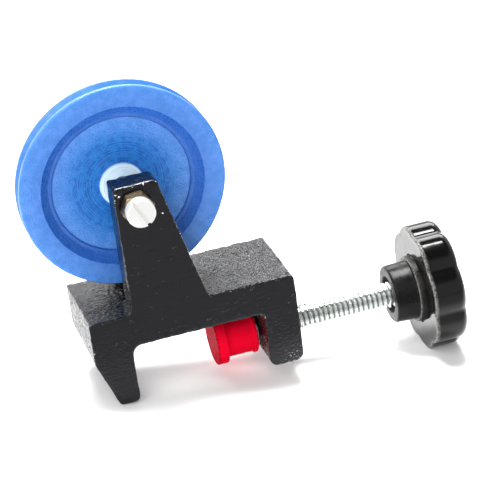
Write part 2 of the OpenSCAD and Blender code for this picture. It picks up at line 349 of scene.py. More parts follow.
# %% Profiles
def rounded(corners, steps=5):
    """A profile with its corners rounded. Each corner is (x, y, radius). The arc's centre lies on the
    line that halves the corner, radius / sin(half the corner) away, and the arc runs between the two
    places where it touches the sides, as a row of steps + 1 points."""
    pts = np.array([c[:2] for c in corners], float)
    out = []
    for i, (_, _, r) in enumerate(corners):
        if r <= 0 or i in (0, len(corners) - 1):
            out.append(pts[i][None])
            continue
        u = pts[i - 1] - pts[i]
        v = pts[i + 1] - pts[i]
        u /= np.linalg.norm(u)
        v /= np.linalg.norm(v)
        half = math.acos(np.clip(u @ v, -1, 1)) / 2
        m = (u + v) / np.linalg.norm(u + v)
        centre = pts[i] + m * r / math.sin(half)
        a = pts[i] + u * r / math.tan(half) - centre
        b = pts[i] + v * r / math.tan(half) - centre
        turn = math.acos(np.clip(a @ b / r / r, -1, 1))
        t = np.linspace(0, 1, steps + 1)[:, None]
        out.append(centre + (np.sin((1 - t) * turn) * a + np.sin(t * turn) * b) / math.sin(turn))
    return np.vstack(out)


def full_turn(count):
    """count angles once round, in radians."""
    return np.linspace(0, 2 * np.pi, count, endpoint=False)


def round_axis(radius, along, turn, centre, axis):
    """Points round an axis: centre + along * axis + radius * (cos turn * first side + sin turn * second
    side). radius and along have one row for each ring and one column for each angle, or a single one."""
    axis, side = np.array(axis, float), np.array([0, 0, 1.0])
    ring = np.cos(turn)[:, None] * side + np.sin(turn)[:, None] * np.cross(axis, side)
    return np.array(centre, float) + along[..., None] * axis + radius[..., None] * ring


def carried_round(profile, around, centre, axis):
    """A profile of (radius, distance along the axis) carried round the axis."""
    return round_axis(profile[:, :1], profile[:, 1:], full_turn(around), centre, axis)


print("corner:", len(rounded([(0, 0, 0), (1, 0, 0.2), (1, 1, 0)])) - 2, "points")


# %% Pieces
def show(name, mesh, body, material, sharp):
    """Puts a mesh in the scene as a piece that rides on a body. Edges over the angle sharp stay crisp."""
    obj = new_object(name, mesh)
    mesh.set_sharp_from_angle(angle=math.radians(sharp))
    mesh.materials.clear()
    mesh.materials.append(material)
    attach(obj, body)
    print(name, len(mesh.polygons), "faces")
    return obj


def mark(mesh, name, values):
    """Writes one number a point on the mesh, for a material to read by name."""
    mesh.attributes.new(name, "FLOAT", "POINT")
    mesh.attributes[name].data.foreach_set("value", np.asarray(values, np.float32).ravel())


# %% [markdown]
# ## Tools for making finishes
# A finish is a small graph of nodes. These helpers keep each graph readable: `Finish`
# starts one, `noise` and the rest add a pattern on the object's own coordinates, and
# `relief` turns a pattern into bumps that the light catches. Sizes are in millimetres.
# Colour and roughness always come from a pattern, so they are linked and never set.

# %% Finish helpers
class Finish:
    """A material being built: its tree, its shader, and its object coordinates."""

    def __init__(self, name, **sockets):
        self.mat = bpy.data.materials.new(name)
        self.mat.use_nodes = True
        self.tree = self.mat.node_tree
        self.shader = self.tree.nodes["Principled BSDF"]
        for socket, value in sockets.items():
            self.shader.inputs[socket].default_value = value
        self.where = self.add("ShaderNodeTexCoord").outputs["Object"]

    def add(self, kind, **settings):
        """A new node with its settings."""
        node = self.tree.nodes.new(kind)
        for key, value in settings.items():
            setattr(node, key, value)
        return node

    def link(self, source, target):
        """Joins an output to an input."""
        self.tree.links.new(source, target)

    def placed(self, centre=(0, 0, 0), stretch=(1, 1, 1)):
        """Object coordinates counted from centre in mm, each axis multiplied by stretch."""
        node = self.add("ShaderNodeMapping")
        node.inputs["Location"].default_value = [-c * MM * s for c, s in zip(centre, stretch)]
        node.inputs["Scale"].default_value = stretch
        self.link(self.where, node.inputs["Vector"])
        return node.outputs["Vector"]

    def noise(self, size, detail=2.0, roughness=0.5, where=None):
        """Cloudy noise whose lumps are about size mm across, 0 to 1."""
        node = self.add("ShaderNodeTexNoise")
        node.inputs["Scale"].default_value = 1.0 / (size * MM)
        node.inputs["Detail"].default_value = detail
        node.inputs["Roughness"].default_value = roughness
        self.link(where or self.where, node.inputs["Vector"])
        return node.outputs["Fac"]

    def ramp(self, value, low, high, to_low=0.0, to_high=1.0):
        """`ramp` in this finish."""
        return ramp(self.tree, value, low, high, to_low, to_high)

    def calc(self, operation, *values):
        """`number` in this finish."""
        return number(self.tree, operation, *values)

    def times(self, a, b):
        """The product of two numbers or sockets."""
        return self.calc("MULTIPLY", a, b)

    def line_noise(self, value, scale, detail):
        """Noise of one number, with scale lumps to a unit."""
        node = self.add("ShaderNodeTexNoise", noise_dimensions="1D")
        node.inputs["Scale"].default_value = scale
        node.inputs["Detail"].default_value = detail
        self.link(value, node.inputs["W"])
        return node.outputs["Fac"]

    def attribute(self, name):
        """A number written on the mesh by `mark`."""
        return self.add("ShaderNodeAttribute", attribute_name=name).outputs["Fac"]

    def blend(self, amount, a, b):
        """Colour a where amount is 0, colour b where it is 1."""
        node = self.add("ShaderNodeMix", data_type="RGBA")
        self.link(amount, node.inputs["Factor"])
        for socket, colour in ((node.inputs[6], a), (node.inputs[7], b)):
            if isinstance(colour, tuple):
                socket.default_value = (*colour, 1)
            else:
                self.link(colour, socket)
        return node.outputs[2]

    def relief(self, height, depth, after=None):
        """Bumps: height from 0 to 1 stands depth mm tall. after is a relief to add to."""
        node = self.add("ShaderNodeBump")
        node.inputs["Strength"].default_value = 1.0
        node.inputs["Distance"].default_value = depth * MM
        self.link(height, node.inputs["Height"])
        if after is not None:
            self.link(after, node.inputs["Normal"])
        self.link(node.outputs["Normal"], self.shader.inputs["Normal"])
        return node.outputs["Normal"]

    def colour(self, socket):
        """The surface's colour."""
        self.link(socket, self.shader.inputs["Base Color"])

    def roughness(self, socket):
        """How dull the shine is, 0 to 1."""
        self.link(socket, self.shader.inputs["Roughness"])


# %% [markdown]
# ## The cast clamp
# The clamp and the fork are one iron casting, poured in sand and dipped in gloss black.
# Three things tell the eye so: no edge is sharp, the flat sides wander, and the paint
# is pebbled where the sand was coarse. The solid in the frame has the right form and
# crisp edges. A Bevel modifier could round them, but then the sides would stay flat. So
# its surface is wrapped in an even net of small faces, the net is relaxed, which wears
# the edges, and then each point is pushed in by a slow and a fine wave.

# %% Casting: wrap the solid in an even net
NET_SIZE = 0.34  # mm between points of the net
WELD_SIZE = 1e-6  # metres within which two points are one


def merged_copy(node, name):
    """A copy of a node's mesh with its loose triangles joined."""
    mesh = nodes[node].data.copy()
    mesh.name = name
    obj = new_object(name, mesh)
    weld = obj.modifiers.new("weld", "WELD")
    weld.merge_threshold = WELD_SIZE
    return obj


def baked(obj):
    """The object's mesh with its modifiers worked in, and the object itself removed."""
    mesh = bpy.data.meshes.new_from_object(obj.evaluated_get(bpy.context.evaluated_depsgraph_get()))
    bpy.data.objects.remove(obj)
    return mesh


def read_points(mesh, what="co"):
    """All points or normals of a mesh as one array, points in mm."""
    flat = np.empty(len(mesh.vertices) * 3, np.float32)
    mesh.vertices.foreach_get(what, flat)
    return flat.reshape(-1, 3).astype(float) * (1 / MM if what == "co" else 1)


def move_points(mesh, points):
    """Puts a mesh's points at new places, given in mm."""
    mesh.vertices.foreach_set("co", (points * MM).astype(np.float32).ravel())
    mesh.update()


net = merged_copy("clamp_casting", "casting_net")
wrap = net.modifiers.new("wrap", "REMESH")
wrap.mode = "VOXEL"
wrap.voxel_size = NET_SIZE * MM
wrap.use_smooth_shade = True
casting_mesh = baked(net)
casting_mesh.name = "casting_skin"
print("net:", len(casting_mesh.vertices), "points")


# %% Casting: wear the edges
RELAX_STEPS = 4
RELAX_SHARE = 0.6


def neighbours_mean(points, edges):
    """Each point's mean over its neighbours, all at once: sums are gathered along the edges."""
    total = np.zeros_like(points)
    count = np.zeros(len(points))
    for a, b in ((0, 1), (1, 0)):
        for axis in range(3):
            total[:, axis] += np.bincount(edges[:, a], points[edges[:, b], axis], len(points))
        count += np.bincount(edges[:, a], minlength=len(points))
    return total / count[:, None]


edge_list = np.empty(len(casting_mesh.edges) * 2, np.int32)
casting_mesh.edges.foreach_get("vertices", edge_list)
edge_list = edge_list.reshape(-1, 2)
wrapped = read_points(casting_mesh)
relaxed = wrapped.copy()
for step in range(RELAX_STEPS):
    relaxed = relaxed + RELAX_SHARE * (neighbours_mean(relaxed, edge_list) - relaxed)
worn = np.linalg.norm(relaxed - wrapped, axis=1)
move_points(casting_mesh, relaxed)
outward = read_points(casting_mesh, "normal")
print("the edges are worn by up to", round(worn.max(), 2), "mm")


# %% Casting: heights at a point
def wander(points, size, waves, seed, depth):
    """A smooth random height at each point: sine waves in random directions, each about size mm long,
    added up, divided by the root of half their number, and multiplied by depth."""
    rng = np.random.default_rng(seed)
    way = rng.normal(size=(waves, 3))
    way /= np.linalg.norm(way, axis=1)[:, None]
    length = size * rng.uniform(0.7, 1.5, waves)
    phase = rng.uniform(0, 2 * np.pi, waves)
    total = np.sin(points @ (way / length[:, None] * 2 * np.pi).T + phase).sum(1)
    return total / math.sqrt(waves / 2) * depth


DENTS = (  # x and z of ripples in the front face, mm
    (20.6, 13.7), (23.4, 12.6), (24.6, 14.4), (27.6, 14.8), (28.4, 13.5), (31.8, 15.0),
    (32.4, 13.9), (9.0, 24.0), (12.6, 30.6), (5.2, 27.5), (8.2, 33.5),
)
DENT_LONG, DENT_HIGH, DENT_DEEP = 1.0, 0.32, 0.13
FACING_FRONT = -0.6  # y of the normal under which a point belongs to the front face


def dents(points, normals):
    """Shallow ripples in the front face, each a bell curve of x and z."""
    total = np.zeros(len(points))
    for x, z in DENTS:
        off_x, off_z = (points[:, 0] - x) / DENT_LONG, (points[:, 2] - z) / DENT_HIGH
        total += np.exp(-off_x ** 2 - off_z ** 2)
    return -DENT_DEEP * total * (normals[:, 1] < FACING_FRONT)


def near(points, spots, size):
    """1 at each spot, falling off as a bell curve of that size in mm."""
    return sum(np.exp(-(((points - spot) ** 2).sum(1) / size ** 2)) for spot in np.array(spots, float))


print(len(DENTS), "dents")

# %% [markdown]
# The top and the left end were against coarser sand, so a number on every point, its
# grain, says how pebbled it is. The holes keep their true size: points near the clamp
# screw and the pivot screws aren't moved.

# %% Casting: let the sides wander
LEAST_GRAIN, END_GRAIN, ARM_CALM = 0.16, 0.8, 0.92
ARMS_FROM, ARMS_BLEND = 19.0, 4.0  # height at which the arms start, and over which they grow calm
SLOW = (9.0, 24, 3, 0.035)  # size in mm, number of waves, seed, depth in mm
PEBBLE = (1.5, 60, 8, 0.045)
RAGGED, RAGGED_WEAR = (2.2, 40, 5, 0.05), 0.12  # for worn edges, and the wear in mm that gives it in full
SUNK = 0.08  # mm that the whole skin lies under the solid's surface
SCREW_CLEAR, PIVOT_CLEAR = 4.2, 4.5  # mm round the holes that stay as they are

upward = np.clip(outward[:, 2], 0, 1) ** 2
endward = np.clip(-outward[:, 0], 0, 1) ** 2
on_arms = np.clip((relaxed[:, 2] - ARMS_FROM) / ARMS_BLEND, 0, 1)
grain = np.clip(LEAST_GRAIN + (upward + END_GRAIN * endward) * (1 - ARM_CALM * on_arms), 0, 1)
pebble = wander(relaxed, *PEBBLE) * grain
ragged = wander(relaxed, *RAGGED) * np.clip(worn / RAGGED_WEAR, 0, 1)
push = np.minimum(wander(relaxed, *SLOW) + pebble + ragged - SUNK, 0.0) + dents(relaxed, outward)
near_screw = np.hypot(relaxed[:, 1], relaxed[:, 2]) < SCREW_CLEAR
near_pivot = np.hypot(relaxed[:, 0] - AXLE[0], relaxed[:, 2] - AXLE[2]) < PIVOT_CLEAR
push[near_screw | near_pivot] = 0.0
move_points(casting_mesh, relaxed + outward * push[:, None])
print("pushed in by", round(-push.mean(), 3), "mm on average")

# %% Casting: marks for the paint
CHIPS = (  # x, y and z of chips along the front arm's edges, mm
    (1.8, -12.4, 48.9), (2.5, -12.5, 48.2), (8.6, -12.4, 50.0), (11.9, -12.4, 49.9),
    (13.0, -12.4, 46.2), (13.3, -12.4, 45.3), (12.1, -12.5, 41.6), (15.1, -12.5, 38.0),
    (15.7, -12.4, 35.6), (20.3, -12.4, 18.4),
)
SCUFF = (39.0, -12.4, -4.0)  # middle of the scraped patch on the screw leg's foot
CHIP_SIZE, SCUFF_SIZE = 0.42, 2.4
WORN_THROUGH = 0.07  # mm of wear at which the paint may be gone

mark(casting_mesh, "grain", grain)
mark(casting_mesh, "worn", np.clip(worn / WORN_THROUGH, 0, 1))
mark(casting_mesh, "chip", np.clip(near(relaxed, CHIPS, CHIP_SIZE), 0, 1))
mark(casting_mesh, "scuff", np.clip(near(relaxed, [SCUFF], SCUFF_SIZE), 0, 1))
print(len(CHIPS), "chips")

# %% [markdown]
# The paint is almost black. What is seen of it is the room in its gloss, so its relief
# matters more than its colour: pebbles under a millimetre over the sand-cast top, long
# shallow drag marks on the front, a few open pits, and small bright chips where an edge
# has been knocked. A painted image could show them, but noise has no seams or edges.

# %% Casting: gloss black enamel
BLACK_PAINT = (0.002, 0.002, 0.004)
BARE_IRON = (0.72, 0.71, 0.68)


def enamel():
    """Black gloss: pebbled relief, drag marks, pits, and chips on the worn edges."""
    f = Finish("black_enamel", IOR=1.43)
    pebbles = f.noise(0.75, roughness=0.55, where=f.placed(stretch=(0.7, 1.2, 1.0)))
    drag = f.noise(0.9, detail=3.0, where=f.placed(stretch=(0.30, 1.0, 1.3)))
    pits = f.ramp(f.noise(1.5, detail=1.0), 0.70, 0.76)
    height = f.times(pebbles, f.calc("ADD", -0.02, f.attribute("grain")))
    first = f.relief(height, 0.85)
    second = f.relief(drag, 0.04, after=first)
    f.relief(f.calc("SUBTRACT", 1.0, pits), 0.12, after=second)
    speck = f.ramp(f.noise(0.55), 0.69, 0.73)
    knocked = f.times(speck, f.ramp(f.attribute("worn"), 0.55, 1.0))
    patchy = f.times(knocked, f.ramp(f.noise(7.0, detail=0.0), 0.48, 0.60))
    chipped = f.ramp(f.times(f.attribute("chip"), f.noise(0.4)), 0.30, 0.36)
    scrape = f.ramp(f.noise(0.5, detail=3.0, where=f.placed(stretch=(0.5, 1.0, 1.6))), 0.60, 0.66)
    scraped = f.times(f.times(scrape, f.attribute("scuff")), 0.7)
    bare = f.calc("MAXIMUM", patchy, f.calc("MAXIMUM", chipped, scraped))
    f.colour(f.blend(bare, BLACK_PAINT, BARE_IRON))
    f.roughness(f.ramp(f.noise(3.0, detail=3.0), 0.3, 0.8, 0.08, 0.16))
    return f.mat


casting = show("cast_clamp", casting_mesh, "frame", enamel(), sharp=180)
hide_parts("clamp_casting")

# %% [markdown]
# ## The wheel
# The wheel was turned on a lathe, so it is a profile carried round its axle: a rim with
# a V groove for the cord, a wall that slopes down to a thin web, a fine step at its
# foot, and a hub in the middle. A Screw modifier could turn it too, but the grid can
# carry numbers for the paint. The tool left fine rings in the web, which are part of the
# profile as a ripple that fades towards the rim.

# %% Wheel: profile
HALF_WIDTH, WEB_HALF, HUB_HALF = 2.75, 0.80, 1.85
RIM_RADIUS, GROOVE_RADIUS = 25.0, 22.30
WEB_FROM, WEB_TO = 5.75, 16.3
RING_HIGH, RING_LONG = 0.034, 0.66  # height of the fine rings and distance between them
BAND_HIGH, BAND_LONG = 0.03, 2.3  # the same for broad bands under them


def wheel_side():
    """One side of the wheel, from the bore out to the groove's bottom: (radius, distance from the
    middle plane). The web's height is two sines of the radius that fade out on the way to the rim."""
    web = np.linspace(WEB_FROM, WEB_TO, 120)
    rings = RING_HIGH * np.sin(web * 2 * np.pi / RING_LONG) * np.clip((14.5 - web) / 6.0, 0.0, 1.0)
    bands = BAND_HIGH * np.sin(web * 2 * np.pi / BAND_LONG + 1.0) * np.clip((13.5 - web) / 7.0, 0.0, 1.0)
    inner = rounded([
        (2.0, 1.55, 0), (2.3, HUB_HALF, 0.08), (5.3, HUB_HALF, 0.22), (5.42, 0.82, 0.12),
        (WEB_FROM, WEB_HALF, 0),
    ])
    outer = rounded([
        (WEB_TO, WEB_HALF, 0), (16.62, WEB_HALF, 0.05), (16.72, 0.66, 0.04), (16.86, 0.66, 0.04),
        (17.0, 1.12, 0.06), (17.75, 1.15, 0.15), (19.80, HALF_WIDTH, 0.30), (RIM_RADIUS, HALF_WIDTH, 0.62),
        (RIM_RADIUS, 1.70, 0.22), (22.45, 0.30, 0.45), (GROOVE_RADIUS, 0.0, 0),
    ])
    return np.vstack([inner, np.column_stack([web[1:-1], WEB_HALF + (rings + bands)[1:-1]]), outer])


side_profile = wheel_side()
mirrored = side_profile[::-1][1:] * [1, -1]
whole_profile = np.vstack([side_profile, mirrored])
print("profile:", len(whole_profile), "points")

# %% Wheel: skin and marks for the paint
AROUND_WHEEL = 256
wheel_mesh = skin("wheel_skin", carried_round(whole_profile, AROUND_WHEEL, AXLE, (0, 1, 0)))
profile_r, profile_y = whole_profile[:, 0], np.abs(whole_profile[:, 1])
in_wall = np.interp(profile_r, [16.5, 16.9, 17.9, 18.1, 19.6, 20.0], [0, 0.6, 0.6, 1, 1, 0])
on_hub = np.interp(profile_r, [5.32, 5.42], [1, 0])
in_rim = np.clip((profile_r - 24.0) / 0.5, 0, 1) * (profile_y > 1.5)
in_groove = (profile_r > 22.0) * (profile_y < 1.75)
# the wall mark places the painted shade on the sloping wall and lowers its roughness
mark(wheel_mesh, "wall", np.repeat(in_wall * (profile_y > 0.5), AROUND_WHEEL))
mark(wheel_mesh, "hub", np.repeat(on_hub * (profile_y > 1.6), AROUND_WHEEL))
mark(wheel_mesh, "polished", np.repeat(np.maximum(in_rim, in_groove), AROUND_WHEEL))
print("wheel:", len(wheel_mesh.vertices), "points")

# %% [markdown]
# The blue is a satin lacquer over turned metal. It is not even: it has a fine hammered
# tooth all over and rings where the tool marks show through. Its flat faces are painted
# paler, as a painted sheen, and the sloping wall is painted darker, as painted shade.
# The rings are drawn by distance from the axle, so the coordinates are first moved to the
# wheel's middle.

# %% Wheel: blue lacquer
# painted sheen: the two face blues on the next line are paler than the lacquer itself
SHEEN_THIN_BLUE, SHEEN_THICK_BLUE = (0.080, 0.230, 0.64), (0.050, 0.190, 0.55)
WEB_BLUE, FLECK_BLUE, RING_BLUE = (0.012, 0.165, 0.54), (0.004, 0.110, 0.42), (0.001, 0.070, 0.36)
# painted shade: the first colour on the next line darkens the sloping wall
WALL_SHADE_BLUE, HUB_BLUE = (0.0, 0.050, 0.33), (0.62, 0.80, 0.96)


def blue_lacquer():
    """Satin blue with a hammered tooth, faint turned rings, a cloudy change of depth, paler faces as a
    painted sheen and a darker wall as painted shade. The radius is the root of x squared plus z
    squared, counted from the axle."""
    f = Finish("blue_lacquer", IOR=1.40)
    split = f.add("ShaderNodeSeparateXYZ")
    f.link(f.placed(centre=AXLE), split.inputs[0])
    x_squared = f.calc("POWER", split.outputs[0], 2.0)
    radius = f.calc("SQRT", f.calc("ADD", x_squared, f.calc("POWER", split.outputs[2], 2.0)))
    ring_noise = f.line_noise(radius, 1 / (0.30 * MM), 2.0)
    inner = f.ramp(radius, 0.016, 0.0055)
    rings = f.times(f.calc("SUBTRACT", ring_noise, 0.5), inner)
    tooth = f.noise(0.34)
    cloud = f.noise(2.2, detail=4.0)
    # painted sheen: the faces take the paler blues
    face = f.blend(f.ramp(cloud, 0.35, 0.7), SHEEN_THICK_BLUE, SHEEN_THIN_BLUE)
    deep = f.blend(f.ramp(radius, 0.0165, 0.0090), face, WEB_BLUE)
    on_web = f.ramp(radius, 0.0180, 0.0150, 0.25, 1.0)
    flecked = f.blend(f.times(f.ramp(tooth, 0.54, 0.66), on_web), deep, FLECK_BLUE)
    broken = f.times(f.ramp(ring_noise, 0.46, 0.56), f.ramp(f.noise(1.6), 0.40, 0.58))
    turned = f.times(broken, f.ramp(radius, 0.0145, 0.0105))
    ringed = f.blend(turned, flecked, RING_BLUE)
    # painted shade: the sloping wall is coloured darker
    wall_shaded = f.blend(f.attribute("wall"), ringed, WALL_SHADE_BLUE)
    f.colour(f.blend(f.attribute("hub"), wall_shaded, HUB_BLUE))
    dull = f.ramp(tooth, 0.3, 0.7, 0.34, 0.48)
    wall_shine = f.times(f.attribute("wall"), 0.18)
    polish = f.calc("MAXIMUM", wall_shine, f.times(f.attribute("polished"), 0.20))
    f.roughness(f.calc("SUBTRACT", dull, polish))
    first = f.relief(tooth, 0.11)
    f.relief(rings, 0.26, after=first)
    return f.mat


wheel = show("blue_wheel", wheel_mesh, "wheel", blue_lacquer(), sharp=50)
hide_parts("pulley_wheel")

# %% [markdown]
# ## Pivot screws
# The wheel has no through axle. Its spindle is pointed at both ends, and each point runs
# in a cup in the end of a slotted screw. The screw is a profile carried round as before,
# but its thread winds: where the profile stands on the shank, its radius also depends on
# how far round it is. A coil swept by a Screw modifier would do too, but it leaves a
# ragged start. The driver slot is cut out of the head afterwards.

# %% Threads
CREST, FLANK, ROUNDING = 0.22, 0.70, 0.10  # shares of half a pitch, and how much the root is rounded


def thread_depth(along, turn, pitch, depth):
    """How far below the crest the surface lies. The phase is along / pitch minus the turn, so the ridge
    winds to the right. It has a flat crest, steep flanks, and a root that a cube term rounds."""
    phase = (along / pitch - turn / (2 * np.pi)) % 1.0
    from_crest = np.abs(phase - 0.5) * 2
    flank = np.clip((from_crest - CREST) / FLANK, 0.0, 1.0)
    return depth * (flank - ROUNDING * flank ** 3) / (1 - ROUNDING)


def threaded_rod(start, end, radius, pitch, depth, around, per_pitch, axis, centre):
    """A grid along a rod: rows from start to end, each point's radius less the thread's depth there,
    and tapered to the root over 0.6 of a pitch at both ends."""
    rows = np.linspace(start, end, int((end - start) / pitch * per_pitch))
    turn = full_turn(around)
    along, angle = np.meshgrid(rows, turn, indexing="ij")
    taper = np.clip(np.minimum(along - start, end - along) / (0.6 * pitch), 0, 1)
    r = radius - depth * (1 - taper) - thread_depth(along, angle, pitch, depth) * taper
    return round_axis(r, along, turn, centre, axis)


print("share of the depth at the root:", thread_depth(0.0, 0.0, 1.0, 1.0))

# %% Pivot screws: shape
HEAD_RADIUS, HEAD_HEIGHT = 3.4, 2.6
NUT_FACE = 15.5  # distance of the nuts' outer faces from the casting's middle
CUP_FROM_WHEEL = 4.418  # distance of a cup's rim from the wheel's middle
PIVOT_RADIUS, PIVOT_PITCH, PIVOT_DEPTH = 1.98, 0.7, 0.36
SLOT_LONG, SLOT_WIDE, SLOT_DEEP = 12.0, 0.8, 1.1


def pivot_screw(name, outward, slot_turn):
    """A slotted screw whose head stands on the nut and points along outward, and whose shank reaches in
    to the wheel's point: head, thread and tip are three grids one after the other."""
    seat = np.array([AXLE[0], outward * NUT_FACE, AXLE[2]])
    end = NUT_FACE - outward * AXLE[1] - CUP_FROM_WHEEL
    axis = (0, outward, 0)
    head = carried_round(rounded([
        (0.02, HEAD_HEIGHT, 0), (HEAD_RADIUS, HEAD_HEIGHT, 0.28), (HEAD_RADIUS, 0.0, 0.12), (2.1, 0.0, 0),
    ]), 64, seat, axis)
    shank = threaded_rod(-end + 0.4, -0.05, PIVOT_RADIUS, PIVOT_PITCH, PIVOT_DEPTH, 64, 12, axis, seat)
    tip = carried_round(rounded([
        (1.60, -end + 0.12, 0.05), (1.30, -end, 0.05), (0.25, -end + 1.05, 0.2), (0.02, -end + 1.1, 0),
    ]), 64, seat, axis)
    obj = new_object(name, skin(name, np.vstack([head, shank[::-1], tip]), loop=False))
    cutter = slot_cutter(name + "_slot", seat + np.array([0, outward * HEAD_HEIGHT, 0]), slot_turn)
    cut = obj.modifiers.new("slot", "BOOLEAN")
    cut.operation, cut.object, cut.solver = "DIFFERENCE", cutter, "EXACT"
    done = baked(obj)
    bpy.data.objects.remove(cutter)
    done.name = name
    return done


def slot_cutter(name, middle, turn):
    """A long flat block centred on the head's face and turned about the screw's axis: middle plus or
    minus half its length, half its width and the slot's depth."""
    a = math.radians(turn)
    long_way = np.array([math.cos(a), 0, math.sin(a)]) * SLOT_LONG / 2
    wide = np.array([-math.sin(a), 0, math.cos(a)]) * SLOT_WIDE / 2
    deep = np.array([0, SLOT_DEEP, 0])
    signs = np.array([(i, j, k) for i in (-1, 1) for j in (-1, 1) for k in (-1, 1)], float)
    points = middle + signs @ np.stack([long_way, wide, deep])
    faces = np.array([(0, 1, 3, 2), (4, 6, 7, 5), (0, 4, 5, 1), (2, 3, 7, 6), (0, 2, 6, 4), (1, 5, 7, 3)])
    return new_object(name, put_mesh(name, points, faces, np.zeros((0, 3), int)))


# %% Pivot screws: plating
def bright_plate(name, colour, roughness):
    """Plated or ground metal: cloudy wear in the shine, and darker spots where it is worn most."""
    f = Finish(name, Metallic=0.8)
    spots = f.noise(0.6, detail=3.0)
    f.roughness(f.ramp(spots, 0.35, 0.75, roughness - 0.06, roughness + 0.16))
    f.colour(f.blend(f.ramp(spots, 0.62, 0.80), colour, tuple(0.75 * c for c in colour)))
    f.relief(f.noise(0.25), 0.006)
    return f.mat


pivot_plate = bright_plate("pivot_plate", (0.93, 0.93, 0.91), 0.42)
for where, facing, slot_turn in (("front", -1, -64), ("back", 1, -75)):
    turned = pivot_screw("pivot_" + where, facing, slot_turn)
    screw = show("pivot_screw_" + where + "_turned", turned, "frame", pivot_plate, sharp=28)
    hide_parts("pivot_screw_" + where)

# %% [markdown]
# ## Lock nuts
# A nut is a hexagon with its corners turned off at both ends. The distance to a flat
# side is a cosine of the angle, so a hexagon that is slightly soft at its corners is a
# blend of six cosines. The turned-off corners follow a cone: the further out the corner
# is, the lower the face there. A six-sided cylinder with a bevel would keep flat corners.

# %% Lock nuts: shape
NUT_THICK, NUT_BORE, NUT_ACROSS = 3.0, 2.02, 7.0
ARM_FACE = 12.5  # distance of the arms' outer faces from the casting's middle
CONE_FROM, CONE_SLOPE = 3.42, 0.55  # radius at which the cone starts, and how steep it is


def hexagon(turn, across):
    """Distance to the outline at each angle: half the width over the six sides' cosines, blended with
    a high power so that the corners are slightly round."""
    sides = np.cos(turn[None] - np.radians(np.arange(0, 360, 60))[:, None])
    return across / 2 / (np.clip(sides, 0, 1) ** 50).sum(0) ** (1 / 50)


def lock_nut(name, outward, turned):
    """Rings from the bore over one face to the flats, as (radius, depth under the face); the other face
    has the same rings in reverse, with the depth counted from its own side."""
    turn = full_turn(192)
    out = hexagon(turn - math.radians(turned), NUT_ACROSS)
    cone = np.clip(out - CONE_FROM, 0, None) * CONE_SLOPE
    face = [(NUT_BORE, 0.25), (NUT_BORE + 0.25, 0.0), (3.30, 0.0), (3.40, 0.012),
            (out - 0.04, cone + 0.005), (out, cone + 0.05)]
    radius = np.array([np.broadcast_to(ring[0], turn.shape) for ring in face])
    depth = np.array([np.broadcast_to(ring[1], turn.shape) for ring in face])
    radius = np.vstack([radius, radius[::-1]])
    along = np.vstack([depth, NUT_THICK - depth[::-1]])
    grid = np.empty(radius.shape + (3,))
    grid[..., 0] = AXLE[0] + radius * np.cos(turn)
    grid[..., 1] = outward * (ARM_FACE + along)
    grid[..., 2] = AXLE[2] + radius * np.sin(turn)
    return skin(name, grid)


# %% Lock nuts: brass
def dulled_brass():
    """Old brass: tarnish in clouds that darken and dull the metal together."""
    f = Finish("nut_brass", Metallic=1.0)
    tarnish = f.noise(1.4, detail=4.0)
    f.colour(f.blend(f.ramp(tarnish, 0.4, 0.7), (0.30, 0.235, 0.14), (0.13, 0.10, 0.06)))
    f.roughness(f.ramp(tarnish, 0.3, 0.7, 0.24, 0.42))
    f.relief(f.noise(0.3), 0.010)
    return f.mat


brass = dulled_brass()
for where, facing, flat_turn in (("front", -1, 37), ("back", 1, 8)):
    hexed = lock_nut("nut_" + where, facing, flat_turn)
    nut = show("lock_nut_" + where + "_turned", hexed, "frame", brass, sharp=25)
    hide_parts("lock_nut_" + where)

# %% [markdown]
# ## The wheel's spindle
# The solid already is what the spindle is: a plain ground pin with two points. It could
# be made again as a profile carried round, but nothing would look different, so it keeps
# its shape and takes a ground steel finish.

# %% Spindle
ground_steel = bright_plate("ground_steel", (0.66, 0.66, 0.67), 0.28)
spindle = nodes["wheel_spindle"]
spindle.data.materials.clear()
spindle.data.materials.append(ground_steel)
print("spindle:", len(spindle.data.polygons), "faces")

# %% [markdown]
# ## The clamp screw
# Rolled thread, bright zinc. It shows between the casting and the knob, where a bump in
# the material would leave the outline straight, so the ridge is real geometry, made by
# the same function as the pivot screws' thread.

# %% Clamp screw: shape
ALONG_SCREW, ON_SCREW = (1, 0, 0), (0, 0, 0)  # the screw's axis: its direction and a point on it
SCREW_RADIUS, SCREW_PITCH, SCREW_DEPTH = 3.175, 1.27, 0.66
SCREW_FROM, SCREW_TO = 23.45, 79.5

screw_grid = threaded_rod(SCREW_FROM, SCREW_TO, SCREW_RADIUS, SCREW_PITCH, SCREW_DEPTH, 64, 16,
                          ALONG_SCREW, ON_SCREW)
screw_mesh = skin("clamp_thread", screw_grid, loop=False)
rod_depth = SCREW_RADIUS - np.hypot(screw_grid[..., 1], screw_grid[..., 2]).ravel()
mark(screw_mesh, "root", np.append(np.clip(rod_depth / SCREW_DEPTH, 0, 1), [1, 1]))
print("turns of thread:", round((SCREW_TO - SCREW_FROM) / SCREW_PITCH, 1))


# %% Clamp screw: zinc
ZINC, BLOOM = (0.80, 0.82, 0.81), (0.64, 0.67, 0.66)
# the first colour on the next line is painted shade for the thread's root; the second marks worn plating
ROOT_SHADE, WORN_SPOT = (0.20, 0.22, 0.21), (0.10, 0.11, 0.10)


